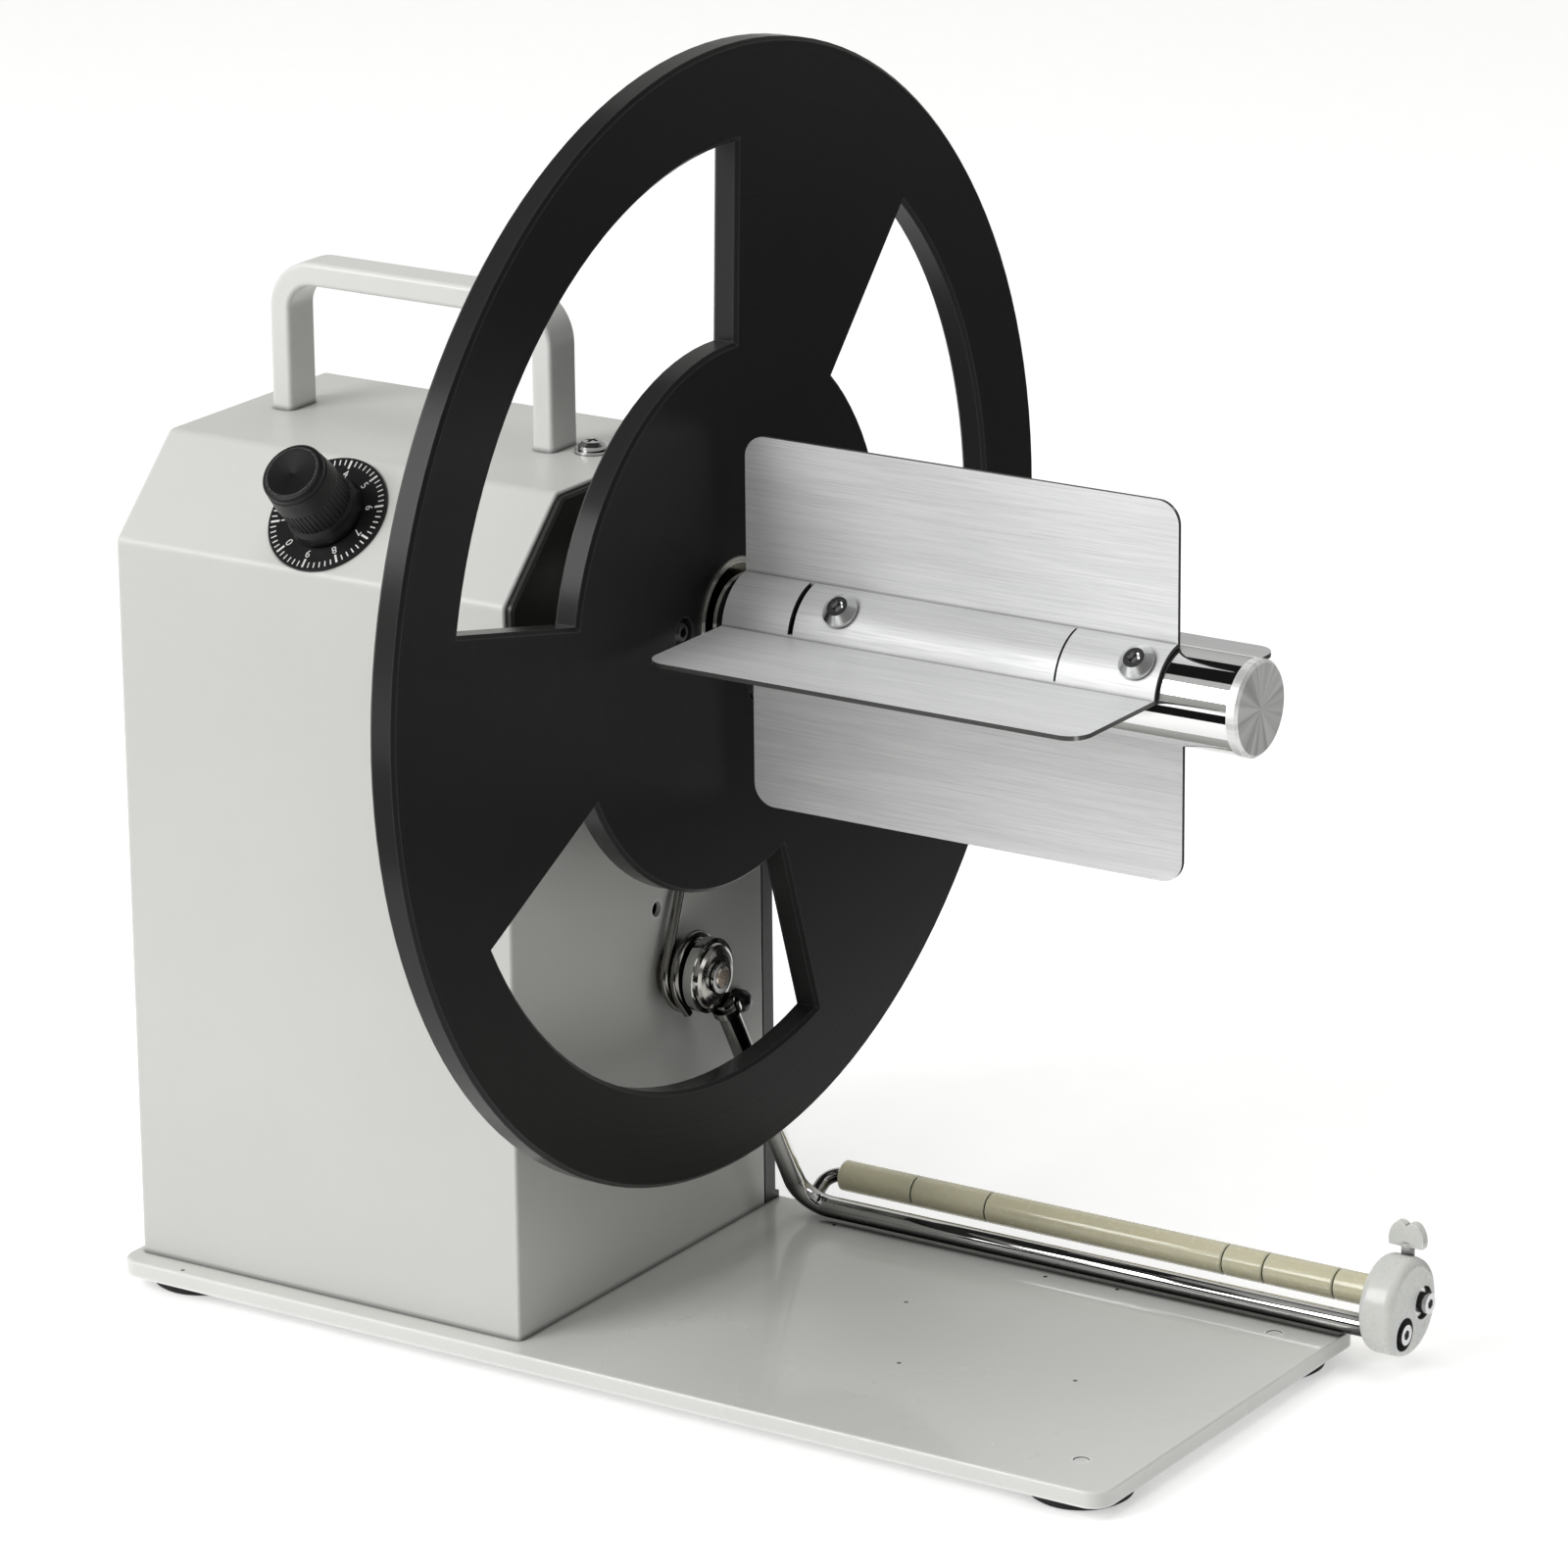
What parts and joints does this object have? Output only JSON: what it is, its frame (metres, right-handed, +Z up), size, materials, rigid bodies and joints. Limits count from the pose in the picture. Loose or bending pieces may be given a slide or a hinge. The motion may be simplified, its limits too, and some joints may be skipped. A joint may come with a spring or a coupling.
{
  "type": "label rewinder",
  "caption": "Table-top motor rewinder: sheet metal housing with belt driven spindle, windowed disc, bent core plates, speed knob and a sprung roller arm on a base plate.",
  "frame": {"origin": "on the table, under the middle of the base plate", "axes": "+X along the spindle towards its free end, +Y to the rear (the side with the cover, switch and socket), +Z up"},
  "size_m": [0.328, 0.3, 0.346],
  "materials": {
    "light_grey_paint": "fine textured powder coat",
    "black_paint": "satin black powder coat",
    "foot_rubber": "matt moulded rubber",
    "zinc_screw": "bright zinc",
    "black_screw": "black oxide",
    "machined_aluminium": "turned",
    "bearing_steel": "ground",
    "black_plastic": "moulded",
    "disc_plastic": "turned sheet, satin",
    "chrome": "polished chrome plate",
    "brushed_sheet": "brushed along the length",
    "bracket_steel": "zinc plated sheet",
    "spring_steel": "oiled spring wire",
    "roller_nylon": "natural nylon tube",
    "white_nylon": "turned and moulded nylon",
    "board_green": "solder resist",
    "rocker_red": "moulded"
  },
  "bodies": {
    "base": {"base_plate": "light_grey_paint", "rubber_feet": "foot_rubber", "foot_screws": "zinc_screw", "housing_shell": "light_grey_paint", "housing_screws": "zinc_screw", "rear_cover": "black_paint", "rear_cover_screws": "black_screw", "bearing_plate": "black_paint", "bearing_plate_screws": "black_screw", "bearing_carrier": "machined_aluminium", "carrier_bolts": "black_screw", "bearing_outer_rings": "bearing_steel", "motor_bracket": "bracket_steel", "bracket_screws": "zinc_screw", "gearmotor": "bracket_steel", "motor_screws": "zinc_screw", "drive_belt": "foot_rubber", "carry_handle": "light_grey_paint", "handle_screws": "zinc_screw", "top_screw": "zinc_screw", "dial_plate": "machined_aluminium", "potentiometer": "bracket_steel", "pot_nut": "zinc_screw", "arm_stud": "chrome", "stud_nut": "zinc_screw", "retaining_ring": "zinc_screw", "torsion_spring": "spring_steel", "spring_anchor_screw": "zinc_screw", "arm_sensor": "black_plastic", "control_board": "board_green", "board_standoffs": "zinc_screw", "board_screws": "zinc_screw", "power_inlet": "black_plastic", "switch_body": "black_plastic"},
    "spindle": {"spindle_shaft": "bearing_steel", "bearing_inner_rings": "bearing_steel", "driven_pulley": "machined_aluminium", "disc_hub": "machined_aluminium", "disc_screws": "black_screw", "roll_disc": "disc_plastic", "spindle_tube": "chrome", "end_cap": "machined_aluminium", "fin_plate_upper": "brushed_sheet", "fin_plate_lower": "brushed_sheet", "fin_screws": "zinc_screw"},
    "motor_output": {"motor_shaft": "bearing_steel", "drive_pulley": "machined_aluminium"},
    "knob": {"speed_knob": "black_plastic", "knob_ring": "chrome", "pot_shaft": "bearing_steel"},
    "arm": {"tension_arm": "chrome", "cup_washer": "chrome", "end_collar": "white_nylon", "rod_end_screws": "zinc_screw"},
    "roller": {"roller_sleeves": "roller_nylon"},
    "wing": {"wing_screw": "white_nylon"},
    "rocker": {"power_rocker": "rocker_red"}
  },
  "joints": [
    {"name": "spindle_turn", "type": "hinge", "parent": "base", "child": "spindle", "pos_m": [0, 0, 0.196], "axis": [1, 0, 0], "continuous": true},
    {"name": "motor_turn", "type": "hinge", "parent": "base", "child": "motor_output", "pos_m": [-0.064, 0, 0.114], "axis": [1, 0, 0], "continuous": true},
    {"name": "knob_turn", "type": "hinge", "parent": "base", "child": "knob", "pos_m": [-0.0905, -0.04675, 0.22085], "axis": [0, -0.7071, 0.7071], "range_deg": [-135, 135]},
    {"name": "arm_swing", "type": "hinge", "parent": "base", "child": "arm", "pos_m": [-0.0142, 0.0155, 0.09], "axis": [1, 0, 0], "range_deg": [0, 45]},
    {"name": "roller_turn", "type": "hinge", "parent": "arm", "child": "roller", "pos_m": [0.08, 0.06824, 0.01777], "axis": [1, 0, 0], "continuous": true},
    {"name": "wing_turn", "type": "hinge", "parent": "arm", "child": "wing", "pos_m": [0.1671, 0.06824, 0.034], "axis": [0, 0, 1], "range_deg": [0, 360]},
    {"name": "rocker_tilt", "type": "hinge", "parent": "base", "child": "rocker", "pos_m": [-0.118, 0.065, 0.052], "axis": [1, 0, 0], "range_deg": [-16, 0]}
  ],
  "couplings": [
    {"joint": "motor_turn", "follows": "spindle_turn", "ratio": 3}
  ]
}
